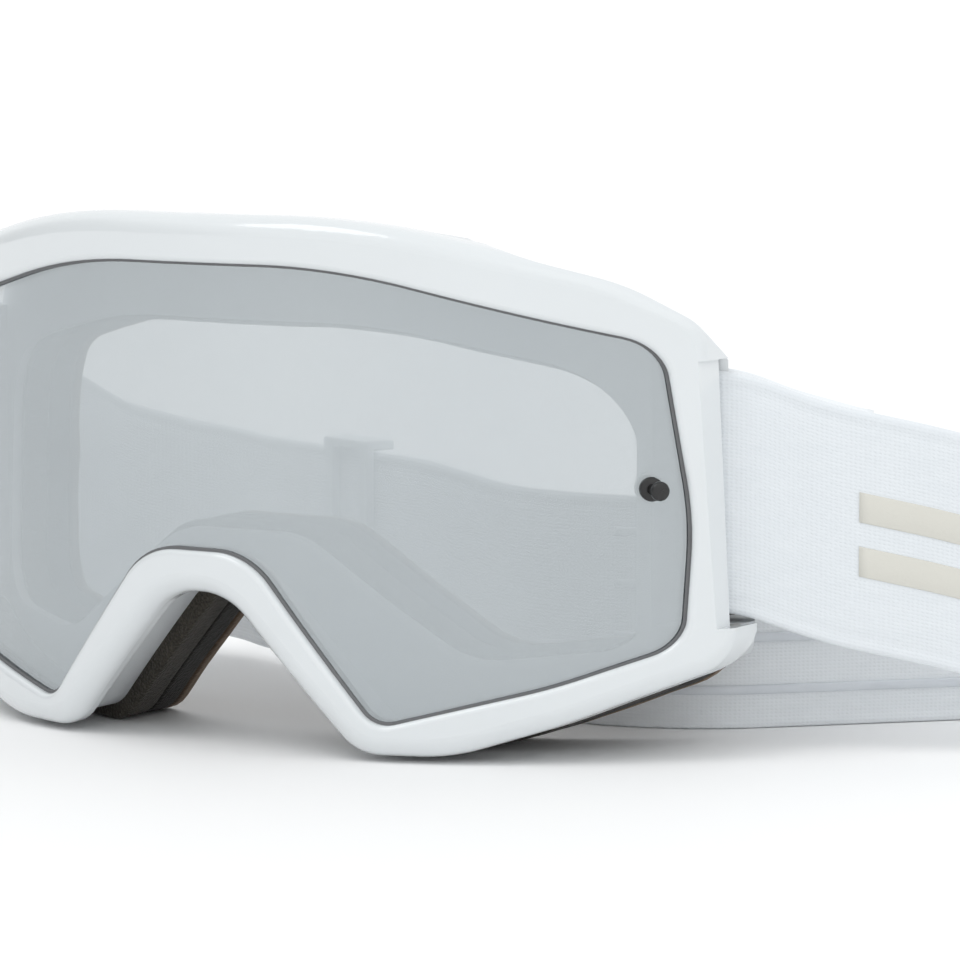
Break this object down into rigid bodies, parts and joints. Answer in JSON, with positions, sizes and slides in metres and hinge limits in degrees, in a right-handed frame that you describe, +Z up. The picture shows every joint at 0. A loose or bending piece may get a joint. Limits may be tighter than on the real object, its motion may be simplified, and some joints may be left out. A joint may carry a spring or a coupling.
{
  "type": "motorcycle goggles",
  "caption": "Off-road motorcycle goggles: curved mirrored lens, foam-lined white frame with a nose arch, tear-off posts and an adjustable elastic head strap.",
  "frame": {"origin": "on the surface the goggles stand on, straight below the foremost line of the lens", "axes": "+Z up, +X to the wearer's left, the goggles look along -Y"},
  "size_m": [0.2731, 0.174, 0.0895],
  "materials": {
    "gloss_white": "high gloss moulded frame plastic",
    "soft_white": "satin flexible plastic",
    "mirror_lens": "silver mirror coating, partly see-through",
    "black_rubber": "matt soft seal",
    "dark_plastic": "moulded nylon",
    "vent_foam": "open-cell filter foam",
    "firm_foam": "fine-cell foam",
    "soft_foam": "fine-cell foam",
    "fleece": "brushed fleece",
    "webbing": "fine knit elastic webbing",
    "thread": "sewing thread",
    "band_print": "printed raised bands",
    "silicone": "translucent silicone",
    "white_plastic": "moulded acetal"
  },
  "bodies": {
    "goggles": {"front_bezel": "gloss_white", "rear_frame": "soft_white", "lens": "mirror_lens", "lens_seal": "black_rubber", "tear_off_post_left": "dark_plastic", "post_washer_left": "dark_plastic", "tear_off_post_right": "dark_plastic", "post_washer_right": "dark_plastic", "vent_foam_top": "vent_foam", "vent_foam_left": "vent_foam", "vent_foam_right": "vent_foam", "face_foam_base": "firm_foam", "face_foam_soft": "soft_foam", "face_fleece": "fleece"},
    "strap_left": {"strap_left": "webbing", "strap_stitching_left": "thread", "strap_bands_left": "band_print", "strap_grip_left": "silicone"},
    "strap_right": {"strap_right": "webbing", "strap_stitching_right": "thread", "strap_bands_right": "band_print", "strap_grip_right": "silicone"},
    "adjuster_left": {"adjuster_left": "white_plastic"},
    "adjuster_right": {"adjuster_right": "white_plastic"}
  },
  "joints": [
    {"name": "strap_swing_right", "type": "hinge", "parent": "goggles", "child": "strap_right", "pos_m": [-0.0752, 0.04177, 0.0443], "axis": [0, 0, 1], "range_deg": [-1.5, 8]},
    {"name": "strap_swing_left", "type": "hinge", "parent": "goggles", "child": "strap_left", "pos_m": [0.0752, 0.04177, 0.0443], "axis": [0, 0, 1], "range_deg": [-1.5, 8]},
    {"name": "adjuster_left_slide", "type": "slide", "parent": "strap_left", "child": "adjuster_left", "axis": [0, 1, 0], "range_m": [-0.008, 0]},
    {"name": "adjuster_right_slide", "type": "slide", "parent": "strap_right", "child": "adjuster_right", "axis": [0.9214, -0.3885, 0], "range_m": [-0.01, 0.01]}
  ],
  "couplings": [
    {"joint": "strap_swing_left", "follows": "strap_swing_right", "ratio": 1}
  ]
}
